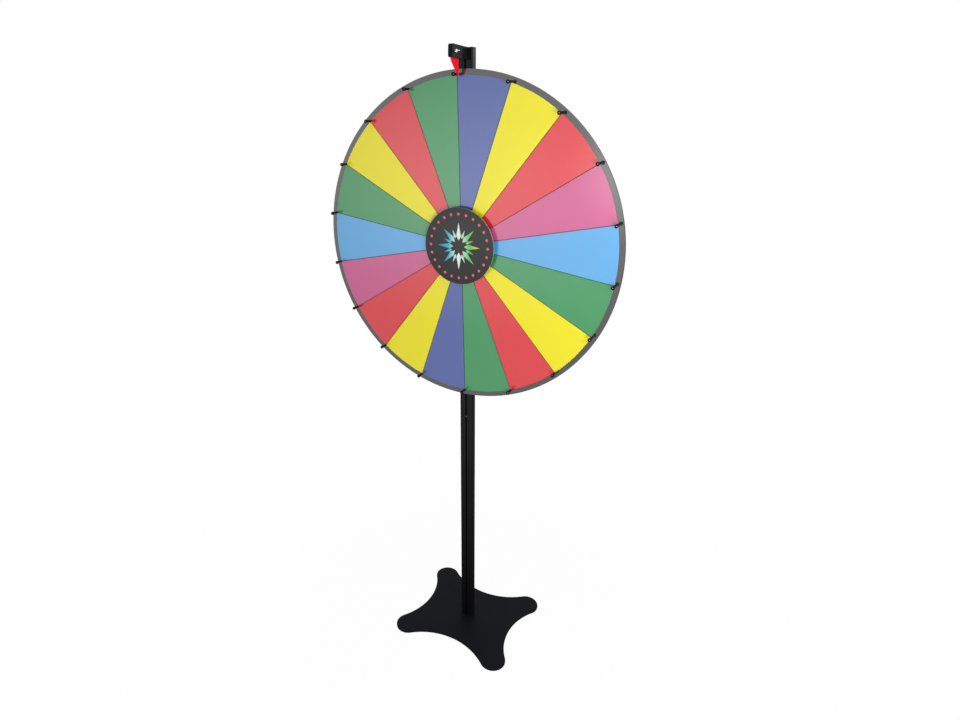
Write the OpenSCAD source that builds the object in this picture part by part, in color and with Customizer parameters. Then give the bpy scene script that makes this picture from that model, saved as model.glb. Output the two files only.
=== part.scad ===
// Carnival game wheel: a wheel ringed with pegs spins on a floor stand, under a flapper.
// Millimetres, +Z up. The origin is on the floor under the post, and the wheel faces -Y.

/* [Wheel] */
// Diameter of the wheel
wheel_d = 914.4; // [800:0.1:1000]
// Height of the wheel's centre above the floor
wheel_z = 1359; // [1200:1:1450]
// Distance from the post's front to the wheel's face
wheel_gap = 26; // [24:0.5:40]
// Thickness of the wheel's board
board_t = 6; // [4:0.5:8]
// Thickness of the coloured panels on the board
panel_t = 0.8; // [0.5:0.1:2]
// Number of segments, and of pegs
segment_count = 18; // [9:9:27]
// Width of the grey border, which carries the pegs
border_w = 14.5; // [13:0.5:24]
// Gap between the panels and the border
border_gap = 0.2; // [0.1:0.05:0.6]
// Width of the dark line between two panels
line_w = 1.8; // [0.6:0.1:2.5]
// Angle between the flapper and the nearest peg at rest, in degrees
rest_turn = 1.25; // [1:0.05:3]

/* [Pegs] */
// Distance of the pegs from the wheel's rim
peg_inset = 13; // [8:0.5:15]
// How far a peg's sleeve stands out of the wheel's face
peg_len = 24; // [20:0.5:36]
// Diameter of the sleeve
sleeve_d = 6.4; // [6:0.1:8]
// Diameter of the sleeve's thicker tip
tip_d = 10; // [8.5:0.1:11]
// Length of the thicker tip
tip_h = 6; // [4:0.1:8]
// Radius on the edges of the tip
tip_round = 1.8; // [0.5:0.1:1.9]
// Diameter of the steel pin inside the sleeve
pin_d = 4; // [3:0.1:4.5]
// Height of the dome on the pin's end
pin_dome = 0.8; // [0.4:0.1:1.5]
// How deep the pin's end lies inside the sleeve
pin_sunk = 2.2; // [0.2:0.1:3.5]
// Diameter of the washer behind the board
peg_washer_d = 10; // [9.5:0.1:14]
// Thickness of the washer
peg_washer_t = 0.9; // [0.6:0.1:2]
// Width across the flats of the nut
peg_nut_af = 7; // [7:0.1:9]
// Height of the nut
peg_nut_h = 3.2; // [2.5:0.1:5]
// How far a pin or a bolt shows past its nut
thread_tail = 1.5; // [0.5:0.1:3]

/* [Hub] */
// Diameter of the hub cover
cover_d = 216; // [160:1:260]
// Thickness of the hub cover
cover_t = 3; // [2:0.5:6]
// Space between the axle's end and the cover
cover_gap = 2; // [1:0.5:6]
// Diameter of the barrel that holds the bearings
barrel_d = 42; // [38:0.5:50]
// How far the barrel stands out of the wheel's face
barrel_front = 8; // [6:0.5:14]
// Diameter of the flange behind the board and of the clamp plate
flange_d = 110; // [104:1:150]
// Thickness of the flange
flange_t = 4; // [3:0.5:6]
// Thickness of the clamp plate in front of the board
clamp_t = 4; // [3:0.5:6]
// Wall of the ring that carries the cover
spacer_wall = 6; // [3:0.5:8]
// Number of bolts through the hub
hub_bolts = 6; // [3:1:8]
// Diameter of the hub bolts
hub_bolt_d = 5; // [4:0.1:6]
// Diameter of the hub bolts' heads
hub_head_d = 9.5; // [8:0.1:11]
// Height of the hub bolts' heads
hub_head_h = 2.8; // [2:0.1:4]
// Width across the flats of the hub bolts' nuts
hub_nut_af = 8; // [8:0.1:10]
// Height of the hub bolts' nuts
hub_nut_h = 4; // [3:0.1:5]

/* [Axle and bearings] */
// Bore of the bearings, and the axle's diameter
bearing_id = 12; // [10:0.5:13]
// Outside diameter of the bearings
bearing_od = 28; // [26:0.5:30]
// Width of the bearings
bearing_w = 8; // [7:0.5:9]
// Diameter of the balls, as a share of the bearings' width
ball_share = 0.6; // [0.5:0.01:0.6]
// Number of balls in a bearing
ball_count = 7; // [6:1:9]
// Depth of the seat in the barrel that the bearings stop against
seat_lip = 2; // [1.5:0.1:2.5]
// Diameter of the axle's collar on the post
collar_d = 24; // [20:0.5:30]
// Thickness of the axle's collar
collar_t = 3.5; // [2:0.5:5]
// Length of the step between the collar and the rear bearing
step_l = 3; // [2:0.5:5]
// Thickness of the clip at the axle's front end
clip_t = 1.2; // [0.8:0.1:2]
// Wall of the clip
clip_wall = 2.6; // [2:0.1:3.5]
// Depth of the axle's groove for the clip
clip_groove = 0.5; // [0.3:0.1:1]
// How far the axle runs past its clip
axle_tail = 1.8; // [1:0.1:3]
// Diameter of the axle's rear washer
axle_washer_d = 26; // [22:0.5:34]
// Thickness of the axle's rear washer
axle_washer_t = 2; // [1:0.5:4]
// Width across the flats of the axle's nut
axle_nut_af = 19; // [17:0.5:24]
// Height of the axle's nut
axle_nut_h = 10; // [7:0.5:12]

/* [Post] */
// Width of the post
post_w = 43; // [40:0.5:60]
// Depth of the post
post_d = 23; // [22:0.5:32]
// Radius on the post's corners
post_r = 4; // [2.5:0.5:6]
// Wall of the post
post_wall = 2; // [1.5:0.1:3]
// Wall between the post's inner chambers
web_t = 1.8; // [1.4:0.1:2.2]
// Width of the slots in the post's front and back
slot_w = 5.2; // [5.2:0.1:7]
// Thickness of the slots' lips
lip_t = 2.2; // [1.6:0.1:2.6]
// Width of the channel behind a slot
channel_w = 11; // [9:0.5:14]
// Depth of the channel behind a slot
channel_h = 4; // [3:0.1:4.4]
// Width of the post's middle chamber
chamber_w = 16; // [14:0.5:20]
// Diameter of the screw ports in the side chambers
port_d = 6.1; // [5:0.1:6.6]
// Length of the lower half of the post
lower_l = 862; // [700:1:900]
// Length of the splice bar across the two halves
splice_l = 240; // [180:1:300]
// Distance of the splice screws from the seam
splice_screw_z = 62; // [40:1:80]
// Diameter of the splice screws
splice_screw_d = 4; // [3:0.1:5]
// Diameter of the splice screws' heads
splice_head_d = 7.6; // [7:0.1:9]
// Height of the splice screws' heads
splice_head_h = 2.4; // [1.5:0.1:3]
// Thickness of the end cap's plate
cap_t = 3; // [2:0.5:6]
// Radius on the end cap's upper edge
cap_r = 2.4; // [0.6:0.1:3]
// Length of the end cap's plugs
cap_plug_l = 14; // [8:1:24]

/* [Base] */
// Thickness of the base plate
plate_t = 6; // [5:0.5:10]
// Sideways distance of an arm's round end from the post's axis
arm_x = 165; // [140:1:200]
// Distance of an arm's round end from the post's axis, front to back
arm_y = 143; // [125:1:180]
// Radius of an arm's round end
arm_r = 42; // [34:1:50]
// Radius of the hollow front and back edges
bay_front_r = 215; // [180:1:260]
// Radius of the hollow side edges
bay_side_r = 201; // [180:1:260]
// Diameter of the base screws
base_screw_d = 6; // [4.5:0.1:6]
// Diameter of the base screws' countersunk heads
base_head_d = 11; // [9.5:0.1:12]
// Height of the base screws' countersunk heads
base_head_h = 3; // [2:0.1:4]
// Length of the base screws in the post
base_screw_l = 24; // [12:1:40]
// Diameter of the rubber feet
foot_d = 28; // [20:1:40]
// Thickness of the rubber feet
foot_t = 3; // [2:0.5:8]

/* [Flapper] */
// Gap between the wheel's rim and the bracket above it, at the post
bracket_rise = 20.5; // [16:0.5:30]
// Angle at which the bracket rises to the front, in degrees
bracket_rake = 3; // [0:0.5:5]
// Thickness of the bracket
bracket_w = 12; // [10:0.5:16]
// Height of the bracket
bracket_h = 31; // [28:0.5:40]
// How far the bracket reaches past the flapper's front edge
bracket_nose = 4; // [2:0.5:20]
// Radius on the bracket's front corners
bracket_r = 5; // [2:0.5:8]
// Width of the bracket's foot on the post
bracket_foot_w = 16; // [16:0.5:26]
// Thickness of the bracket's foot
bracket_foot_t = 3; // [2:0.5:5]
// Thickness of the flapper
flapper_t = 2.4; // [1.5:0.1:3]
// Gap between the flapper and the wheel's face, at the bracket
flapper_gap = 13; // [6:0.5:16]
// Width of the flapper at the bracket
flapper_w = 37.5; // [32:0.5:48]
// Radius of the flapper's shoulder, under the bracket's front end
shoulder_r = 7; // [3:0.5:10]
// Length of the straight front edge between the bracket and the shoulder
shoulder_drop = 3; // [1:0.5:8]
// Distance of the flapper's tip from the wheel's face
tip_y = 12.5; // [8:0.5:16]
// Radius of the flapper's tip
tip_r = 1.8; // [1.2:0.1:3]
// How far the flapper's tip reaches past the pegs' circle
tip_dip = 5.5; // [0.5:0.1:8]
// Height of the clamp bolt above the bracket's lower edge
clamp_rise = 15; // [12:0.5:17]
// Distance of the clamp bolt from the flapper's front edge
clamp_inset = 11.5; // [8:0.5:16]
// Height of the flapper's tab above the clamp bolt
tab_over = 6; // [5:0.5:7]
// Diameter of the clamp bolt
clamp_bolt_d = 4; // [3:0.1:5]
// Width across the flats of the clamp bolt's head
clamp_head_af = 7; // [7:0.1:10]
// Height of the clamp bolt's head
clamp_head_h = 2.8; // [2:0.1:4]
// Span of the wing nut
wing_span = 20; // [16:0.5:28]
// Height of the wing nut
wing_h = 8; // [7:0.5:12]
// Thickness of a wing
wing_t = 1.6; // [1:0.1:2.5]
// Diameter of the wing nut's boss
wing_boss_d = 7.5; // [7:0.1:10]
// Height of the wing nut's boss
wing_boss_h = 4.5; // [3:0.5:6]
// Radius of a wing's round end
wing_r = 2.6; // [2:0.1:3.2]
// Angle that the tightened wing nut stands at, in degrees
wing_turn = 12; // [0:1:90]
// Diameter of the bracket's screws
bracket_screw_d = 5; // [4:0.1:5]
// Diameter of the bracket's screw heads
bracket_head_d = 9.5; // [8.5:0.1:11]
// Height of the bracket's screw heads
bracket_head_h = 2.8; // [2:0.1:4]
// Distance between the bracket's two screws
bracket_screw_pitch = 16; // [12:0.5:18]
// Length of the bracket's screws inside the bracket
bracket_screw_l = 18; // [10:1:24]

/* [Fits] */
// Radial gap around screws and pins in their holes
screw_gap = 0.1; // [0.02:0.01:0.2]
// Gap on each side of a piece that slides into another
slide_gap = 0.15; // [0.05:0.01:0.3]
// Gap between the balls and their races
race_gap = 0.1; // [0.05:0.01:0.2]
// Gap between the seals and the rings
seal_gap = 0.15; // [0.05:0.01:0.3]

/* [Hidden] */
$fn = 64;
HEX = 6;
// Width of a driver socket, as a share of the screw's diameter
SOCKET_SHARE = 0.6;
// Height of a driver socket's floor, as a share of the head's height
SOCKET_FLOOR = 0.35;
// Length that a cutting body runs past the faces that it cuts
CUT = 1;

wheel_r = wheel_d / 2;
peg_r = wheel_r - peg_inset;
border_r = wheel_r - border_w;
pitch = 360 / segment_count;
face_y = -(post_d / 2 + wheel_gap);
board_front = -panel_t;
board_back = board_front - board_t;
flange_back = board_back - flange_t;
clamp_front = board_front + clamp_t;
panel_r = flange_d / 2 + line_w;
spacer_in_r = flange_d / 2 - spacer_wall;
hub_bolt_r = (barrel_d / 2 + spacer_in_r) / 2;
// Colours of the segments, clockwise from the peg nearest the flapper
SEGMENT_ORDER = ["violet", "yellow", "red", "pink", "sky", "green", "yellow", "red", "green"];

// Stations along the wheel's axis, measured forward from its face
post_front = -wheel_gap;
post_back = post_front - post_d;
barrel_back = post_front + collar_t + step_l;
rear_bearing = barrel_back + bearing_w / 2;
front_bearing = barrel_front - bearing_w / 2;
axle_front = barrel_front + clip_t + axle_tail;
cover_back = axle_front + cover_gap;
axle_back = post_back - axle_washer_t - axle_nut_h - thread_tail;

race_r = (bearing_id + bearing_od) / 4;
ball_d = ball_share * bearing_w;
land = ball_d / 3;
inner_ring_r = race_r - land;
outer_ring_r = race_r + land;
// Thickness of a bearing's seals, and how far they sit inside its ends
seal_t = 0.5;
seal_inset = 0.2;
// Wall of a bearing's cage, and where the cage ends behind the balls' centres
cage_wall = 1.4;
cage_back = -1.2;
cage_front = bearing_w / 2 - seal_inset - seal_t - seal_gap;

plate_z = foot_t;
post_z = plate_z + plate_t;
seam_z = post_z + lower_l;
bracket_z = wheel_z + wheel_r + bracket_rise;
foot_h = bracket_h / cos(bracket_rake);
post_top = bracket_z + foot_h - cap_t;
channel_floor = post_d / 2 - lip_t - channel_h;
chamber_h = 2 * (channel_floor - web_t);
side_w = post_w / 2 - post_wall - chamber_w / 2 - web_t;
port_x = chamber_w / 2 + web_t + side_w / 2;
port_bite = web_t / 3;
side_r = min(post_r - post_wall / 2, side_w / 2 - port_bite);
splice_t = chamber_h - 2 * slide_gap;
cap_edge = min(cap_r, cap_t, post_r);

kerf_t = flapper_t + 2 * slide_gap;
tab_back = wheel_gap + flapper_gap;
tab_front = tab_back + flapper_w;
tab_h = clamp_rise + tab_over;
bracket_l = tab_front + bracket_nose;
tip_s = wheel_gap + tip_y;
tip_z = wheel_z + peg_r - tip_dip;
bracket_screw_z = bracket_z + bracket_h / 2;

// Radius of the sphere that gives a dome of this half width and rise
function dome_radius(half, rise) = (half * half + rise * rise) / (2 * rise);

// Direction from two circles' centres to a line that touches both, on the side given by 1 or -1
function belt(centre_a, r_a, centre_b, r_b, side) =
    let (
        away = centre_b - centre_a,
        turn = atan2(away.y, away.x) + side * acos((r_a - r_b) / norm(away))
    )
    [cos(turn), sin(turn)];

// Point where a line from p touches a circle, on the side given by 1 or -1
function touch(p, centre, r, side) = centre + r * belt(centre, r, p, 0, side);

// A point of the side frame, seen in the bracket's raked frame
function raked(p) =
    let (up = p.y - bracket_z)
    [
        p.x * cos(bracket_rake) + up * sin(bracket_rake),
        up * cos(bracket_rake) - p.x * sin(bracket_rake)
    ];

// Frame of the wheel: x to the right, y up and z out of its face
module at_wheel() translate([0, face_y, wheel_z]) rotate([90, 0, 0]) children();

// Side frame of the bracket: x forward from the post's front, y up, z to the left
module at_side() translate([0, -post_d / 2, 0]) rotate([90, 0, -90]) children();

// The same frame at the bracket's lower rear corner, raked with the bracket
module at_bracket() at_side() translate([0, bracket_z, 0]) rotate(bracket_rake) children();

// One copy at each peg, with y pointing outward
module at_pegs()
    for (k = [0 : segment_count - 1])
        rotate(rest_turn - k * pitch)
            translate([0, peg_r, 0])
                children();

// One copy at each hub bolt
module at_hub_bolts()
    for (k = [0 : hub_bolts - 1])
        rotate(k * 360 / hub_bolts)
            translate([0, hub_bolt_r, 0])
                children();

// One copy at each of the two bearings
module at_bearings()
    for (z = [rear_bearing, front_bearing])
        translate([0, 0, z])
            children();

module hex_prism(af, h) cylinder(d = af / cos(180 / HEX), h = h, $fn = HEX);

// Rectangle with round corners, centred
module round_square(size, r) {
    square([size.x - 2 * r, size.y], center = true);
    square([size.x, size.y - 2 * r], center = true);
    for (x = [-1, 1], y = [-1, 1])
        translate([x * (size.x / 2 - r), y * (size.y / 2 - r)])
            circle(r);
}

// Half outline of a dome, for turning about y
module dome_half(half, rise)
    intersection() {
        translate([0, rise - dome_radius(half, rise)]) circle(dome_radius(half, rise));
        square([half, rise]);
    }

// Screw with a domed head above z = 0 and its shank below
module dome_screw(d, l, head_d, head_h) {
    difference() {
        rotate_extrude() dome_half(head_d / 2, head_h);
        translate([0, 0, head_h * SOCKET_FLOOR]) hex_prism(d * SOCKET_SHARE, head_h);
    }
    translate([0, 0, -l]) cylinder(d = d, h = l);
}

// Flat ring
module ring(out_r, in_r, h)
    difference() {
        cylinder(r = out_r, h = h);
        translate([0, 0, -CUT]) cylinder(r = in_r, h = h + 2 * CUT);
    }

// Star-shaped outline: round arm ends joined by hollow arcs that touch them
module base_outline() {
    front_y = arm_y + sqrt(pow(bay_front_r + arm_r, 2) - arm_x * arm_x);
    side_x = arm_x + sqrt(pow(bay_side_r + arm_r, 2) - arm_y * arm_y);
    difference() {
        polygon([
            [arm_x, arm_y], [0, front_y], [-arm_x, arm_y], [-side_x, 0],
            [-arm_x, -arm_y], [0, -front_y], [arm_x, -arm_y], [side_x, 0]
        ]);
        for (side = [-1, 1]) {
            translate([0, side * front_y]) circle(bay_front_r);
            translate([side * side_x, 0]) circle(bay_side_r);
        }
    }
    at_arms() circle(arm_r);
}

module at_arms()
    for (x = [-arm_x, arm_x], y = [-arm_y, arm_y])
        translate([x, y])
            children();

module base_screw(gap = 0) {
    top = plate_t + base_screw_l;
    rotate_extrude()
        polygon([
            [0, 0], [base_head_d / 2 + gap, 0], [base_screw_d / 2 + gap, base_head_h],
            [base_screw_d / 2 + gap, top], [0, top]
        ]);
}

module at_ports()
    for (x = [-port_x, port_x])
        translate([x, 0, 0])
            children();

module base_plate() color("#2b2c30")
    translate([0, 0, plate_z])
        difference() {
            linear_extrude(plate_t) base_outline();
            at_ports() base_screw(screw_gap);
        }

module rubber_feet() color("#151515")
    at_arms() cylinder(d = foot_d, h = foot_t);

module base_screws() color("#8d9096")
    translate([0, 0, plate_z])
        at_ports() base_screw();

// Section of the post: slots front and back, a middle chamber and two side chambers with ports
module post_section()
    difference() {
        union() {
            difference() {
                round_square([post_w, post_d], post_r);
                for (side = [-1, 1]) {
                    translate([0, side * post_d / 2]) square([slot_w, 2 * lip_t + CUT], center = true);
                    translate([0, side * (channel_floor + channel_h / 2)])
                        square([channel_w, channel_h], center = true);
                    translate([side * port_x, 0])
                        round_square([side_w, post_d - 2 * post_wall], side_r);
                }
                square([chamber_w, chamber_h], center = true);
            }
            at_ports() circle(d = side_w + 2 * port_bite);
        }
        at_ports() circle(d = port_d);
    }

// Hole from the front, at a height on the post
module post_hole(z, d, back)
    translate([0, back, z])
        rotate([90, 0, 0])
            cylinder(d = d, h = back + post_d / 2 + CUT);

module lower_post() color("#1d1e20")
    difference() {
        translate([0, 0, post_z]) linear_extrude(lower_l) post_section();
        post_hole(seam_z - splice_screw_z, splice_screw_d + 2 * screw_gap, 0);
    }

module upper_post() color("#1d1e20")
    difference() {
        translate([0, 0, seam_z]) linear_extrude(post_top - seam_z) post_section();
        post_hole(seam_z + splice_screw_z, splice_screw_d + 2 * screw_gap, 0);
        post_hole(wheel_z, bearing_id + 2 * slide_gap, post_d / 2 + CUT);
        at_bracket_screws() post_hole(0, bracket_screw_d + 2 * screw_gap, post_d / 2 + CUT);
    }

module splice_bar() color("#8d9096")
    difference() {
        translate([0, 0, seam_z])
            cube([chamber_w - 2 * slide_gap, splice_t, splice_l], center = true);
        for (side = [-1, 1])
            post_hole(seam_z + side * splice_screw_z, splice_screw_d + 2 * screw_gap, splice_t / 2 + CUT);
    }

module splice_screws() color("#d9dadc")
    for (side = [-1, 1])
        translate([0, -post_d / 2, seam_z + side * splice_screw_z])
            rotate([90, 0, 0])
                dome_screw(splice_screw_d, post_d / 2 + splice_t / 2, splice_head_d, splice_head_h);

// Half section of the end cap's corner, with its upper edge round
module cap_corner() {
    square([post_r, cap_t - cap_edge]);
    square([post_r - cap_edge, cap_t]);
    intersection() {
        translate([post_r - cap_edge, cap_t - cap_edge]) circle(cap_edge);
        square([post_r, cap_t]);
    }
}

module post_cap() color("#17181a")
    translate([0, 0, post_top]) {
        hull()
            for (x = [-1, 1], y = [-1, 1])
                translate([x * (post_w / 2 - post_r), y * (post_d / 2 - post_r), 0])
                    rotate_extrude($fn = 32) cap_corner();
        at_ports()
            translate([0, 0, -cap_plug_l])
                cylinder(d = port_d - 2 * screw_gap, h = cap_plug_l);
    }

module at_bracket_screws()
    for (side = [-1, 1])
        translate([0, 0, bracket_screw_z + side * bracket_screw_pitch / 2])
            children();

// Side outline of the bracket, with its front corners round
module bracket_outline() {
    square([bracket_l - bracket_r, bracket_h]);
    translate([0, bracket_r]) square([bracket_l, bracket_h - 2 * bracket_r]);
    for (y = [bracket_r, bracket_h - bracket_r])
        translate([bracket_l - bracket_r, y])
            circle(bracket_r);
}

module flapper_bracket() color("#1a1a1b")
    difference() {
        union() {
            at_bracket()
                translate([0, 0, -bracket_w / 2])
                    linear_extrude(bracket_w) bracket_outline();
            at_side()
                translate([0, bracket_z, -bracket_foot_w / 2])
                    cube([bracket_foot_t, foot_h, bracket_foot_w]);
        }
        at_side()
            translate([-bracket_h, bracket_z - CUT, -bracket_foot_w])
                cube([bracket_h, 2 * bracket_h, 2 * bracket_foot_w]);
        at_bracket()
            translate([tab_back - slide_gap, -CUT, -kerf_t / 2])
                cube([flapper_w + 2 * slide_gap, tab_h + slide_gap + CUT, kerf_t]);
        at_clamp()
            translate([0, 0, -bracket_w])
                cylinder(d = clamp_bolt_d + 2 * screw_gap, h = 2 * bracket_w);
        at_bracket_screws()
            translate([0, -post_d / 2 + CUT, 0])
                rotate([90, 0, 0])
                    cylinder(d = bracket_screw_d + 2 * screw_gap, h = bracket_screw_l + screw_gap + CUT);
    }

module bracket_screws() color("#8d9096")
    at_bracket_screws()
        translate([0, post_d / 2, 0])
            rotate([-90, 0, 0])
                dome_screw(bracket_screw_d, post_d + bracket_screw_l, bracket_head_d, bracket_head_h);

// Axis of the clamp bolt, with z to the right and its zero in the bracket's middle
module at_clamp()
    at_bracket()
        translate([tab_front - clamp_inset, clamp_rise, 0])
            rotate([180, 0, 0])
                children();

module clamp_bolt() color("#8d9096")
    at_clamp() {
        translate([0, 0, -bracket_w / 2 - clamp_head_h]) hex_prism(clamp_head_af, clamp_head_h);
        translate([0, 0, -bracket_w / 2])
            cylinder(d = clamp_bolt_d, h = bracket_w + wing_boss_h + thread_tail);
    }

// Outline of one wing, from the boss out to its round end
module wing_outline() {
    tip = [wing_span / 2 - wing_r, wing_h - wing_r];
    polygon([
        [0, 0], [wing_boss_d / 2, 0], touch([wing_boss_d / 2, 0], tip, wing_r, 1), tip,
        touch([0, wing_boss_h], tip, wing_r, -1), [0, wing_boss_h]
    ]);
    translate(tip) circle(wing_r);
}

module wing_nut() color("#d4d6d9")
    at_clamp()
        translate([0, 0, bracket_w / 2])
            difference() {
                union() {
                    cylinder(d = wing_boss_d, h = wing_boss_h);
                    for (side = [0, 180])
                        rotate(side + wing_turn)
                            rotate([90, 0, 0])
                                translate([0, 0, -wing_t / 2])
                                    linear_extrude(wing_t) wing_outline();
                }
                translate([0, 0, -CUT])
                    cylinder(d = clamp_bolt_d + 2 * screw_gap, h = wing_h + 2 * CUT);
            }

module axle() color("#a9adb2")
    at_wheel()
        difference() {
            union() {
                translate([0, 0, axle_back]) cylinder(d = bearing_id, h = axle_front - axle_back);
                translate([0, 0, post_front]) cylinder(d = collar_d, h = collar_t);
                translate([0, 0, post_front]) cylinder(r = inner_ring_r, h = collar_t + step_l);
            }
            translate([0, 0, barrel_front])
                ring(bearing_id, bearing_id / 2 - clip_groove, clip_t + slide_gap);
        }

module axle_washer() color("#b9bcc1")
    at_wheel()
        translate([0, 0, post_back - axle_washer_t])
            ring(axle_washer_d / 2, bearing_id / 2 + slide_gap, axle_washer_t);

module axle_nut() color("#a9adb2")
    at_wheel()
        translate([0, 0, post_back - axle_washer_t - axle_nut_h])
            difference() {
                hex_prism(axle_nut_af, axle_nut_h);
                translate([0, 0, -CUT])
                    cylinder(r = bearing_id / 2 + screw_gap, h = axle_nut_h + 2 * CUT);
            }

// Open ring that snaps into the axle's groove
module axle_clip() color("#8d9096")
    at_wheel() {
        in_r = bearing_id / 2 - clip_groove + screw_gap;
        translate([0, 0, barrel_front])
            difference() {
                ring(in_r + clip_wall, in_r, clip_t);
                translate([-in_r / 2, 0, -CUT]) cube([in_r, in_r + clip_wall, clip_t + 2 * CUT]);
            }
    }

// Groove that the balls run in, for cutting out of a ring
module race() rotate_extrude() translate([race_r, 0]) circle(ball_d / 2 + race_gap);

module bearing_inner_rings() color("#c9ccd0")
    at_wheel()
        at_bearings()
            difference() {
                translate([0, 0, -bearing_w / 2])
                    ring(inner_ring_r, bearing_id / 2 + screw_gap / 2, bearing_w);
                race();
            }

module bearing_outer_rings() color("#c9ccd0")
    at_wheel()
        at_bearings()
            difference() {
                translate([0, 0, -bearing_w / 2])
                    ring(bearing_od / 2 - screw_gap / 2, outer_ring_r, bearing_w);
                race();
            }

module bearing_seals() color("#26221f")
    at_wheel()
        at_bearings()
            for (z = [-bearing_w / 2 + seal_inset, bearing_w / 2 - seal_inset - seal_t])
                translate([0, 0, z])
                    ring(outer_ring_r - screw_gap / 2, inner_ring_r + seal_gap, seal_t);

module at_balls()
    at_bearings()
        for (k = [0 : ball_count - 1])
            rotate(k * 360 / ball_count)
                translate([race_r, 0, 0])
                    children();

module bearing_cages() color("#b08d4a")
    at_wheel()
        difference() {
            at_bearings()
                translate([0, 0, cage_back])
                    ring(race_r + cage_wall / 2, race_r - cage_wall / 2, cage_front - cage_back);
            at_balls() sphere(d = ball_d + 2 * race_gap);
        }

module bearing_balls() color("#dfe1e4")
    at_wheel() at_balls() sphere(d = ball_d);

module bearing_spacer() color("#a9adb2")
    at_wheel()
        translate([0, 0, rear_bearing + bearing_w / 2])
            ring(inner_ring_r, bearing_id / 2 + screw_gap, front_bearing - rear_bearing - bearing_w);

// Holes for the pegs' pins
module pin_holes()
    at_pegs()
        translate([0, 0, board_back - CUT])
            cylinder(d = pin_d + 2 * screw_gap, h = board_t + panel_t + 2 * CUT);

module wheel_board() color("#5c5d5c")
    at_wheel()
        difference() {
            translate([0, 0, board_back]) cylinder(r = wheel_r, h = board_t, $fn = 180);
            translate([0, 0, board_back - CUT])
                cylinder(d = barrel_d + 2 * slide_gap, h = board_t + 2 * CUT);
            pin_holes();
            at_hub_bolts()
                translate([0, 0, board_back - CUT])
                    cylinder(d = hub_bolt_d + 2 * screw_gap, h = board_t + 2 * CUT);
        }

module wheel_border() color("#6f706d")
    at_wheel()
        difference() {
            translate([0, 0, board_front]) ring(wheel_r, border_r + border_gap / 2, panel_t, $fn = 180);
            pin_holes();
        }

// One panel: a slice of a ring, drawn in by half a line on each straight side
module panel_outline() {
    apex = line_w / 2 / sin(pitch / 2);
    half = tan(pitch / 2) * (wheel_r - apex);
    intersection() {
        difference() {
            circle(border_r - border_gap / 2);
            circle(panel_r);
        }
        polygon([[0, apex], [half, wheel_r], [-half, wheel_r]]);
    }
}

// All panels of one colour
module panels(name, paint) color(paint)
    at_wheel()
        for (k = [0 : segment_count - 1])
            if (SEGMENT_ORDER[k % len(SEGMENT_ORDER)] == name)
                difference() {
                    rotate(rest_turn - (k + 0.5) * pitch)
                        translate([0, 0, board_front])
                            linear_extrude(panel_t) panel_outline();
                    pin_holes();
                }

module segments_violet() panels("violet", "#5b5fa6");
module segments_yellow() panels("yellow", "#ecdc1e");
module segments_red() panels("red", "#d8232f");
module segments_pink() panels("pink", "#d9488c");
module segments_sky() panels("sky", "#4ea3e0");
module segments_green() panels("green", "#2f8a55");

module peg_pins() color("#e2e3e5")
    at_wheel()
        at_pegs() {
            back = board_back - peg_washer_t - peg_nut_h - thread_tail;
            shoulder = peg_len - pin_sunk - pin_dome;
            translate([0, 0, back]) cylinder(d = pin_d, h = shoulder - back);
            translate([0, 0, shoulder]) rotate_extrude() dome_half(pin_d / 2, pin_dome);
        }

// Half section of a sleeve: a straight tube with a thicker, rounded tip
module sleeve_half()
    difference() {
        union() {
            square([sleeve_d / 2, peg_len - tip_h / 2]);
            translate([0, peg_len - tip_h / 2]) round_square([tip_d, tip_h], tip_round);
        }
        bore = pin_d / 2 + screw_gap;
        translate([bore - tip_d, -CUT]) square([tip_d, peg_len + 2 * CUT]);
    }

module peg_sleeves() color("#141414")
    at_wheel() at_pegs() rotate_extrude() sleeve_half();

module peg_washers() color("#b9bcc1")
    at_wheel()
        at_pegs()
            translate([0, 0, board_back - peg_washer_t])
                ring(peg_washer_d / 2, pin_d / 2 + screw_gap, peg_washer_t);

module peg_nuts() color("#b9bcc1")
    at_wheel()
        at_pegs()
            translate([0, 0, board_back - peg_washer_t - peg_nut_h])
                difference() {
                    hex_prism(peg_nut_af, peg_nut_h);
                    translate([0, 0, -CUT])
                        cylinder(r = pin_d / 2 + screw_gap, h = peg_nut_h + 2 * CUT);
                }

// Holes for the hub bolts, through a plate of this thickness
module hub_bolt_holes(z, h)
    at_hub_bolts()
        translate([0, 0, z - CUT])
            cylinder(d = hub_bolt_d + 2 * screw_gap, h = h + 2 * CUT);

module hub_barrel() color("#b4b7bb")
    at_wheel()
        difference() {
            union() {
                translate([0, 0, barrel_back]) cylinder(d = barrel_d, h = barrel_front - barrel_back);
                translate([0, 0, flange_back]) cylinder(d = flange_d, h = flange_t);
            }
            translate([0, 0, barrel_back - CUT])
                cylinder(r = bearing_od / 2 - seat_lip, h = barrel_front - barrel_back + 2 * CUT);
            translate([0, 0, barrel_back - CUT]) cylinder(d = bearing_od, h = bearing_w + CUT);
            translate([0, 0, barrel_front - bearing_w]) cylinder(d = bearing_od, h = bearing_w + CUT);
            hub_bolt_holes(flange_back, flange_t);
        }

module clamp_plate() color("#b4b7bb")
    at_wheel()
        difference() {
            translate([0, 0, board_front]) ring(flange_d / 2, barrel_d / 2 + slide_gap, clamp_t);
            hub_bolt_holes(board_front, clamp_t);
        }

module hub_bolts() color("#8d9096")
    at_wheel()
        at_hub_bolts()
            translate([0, 0, clamp_front])
                dome_screw(
                    hub_bolt_d,
                    clamp_front - flange_back + hub_nut_h + thread_tail,
                    hub_head_d,
                    hub_head_h
                );

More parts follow.
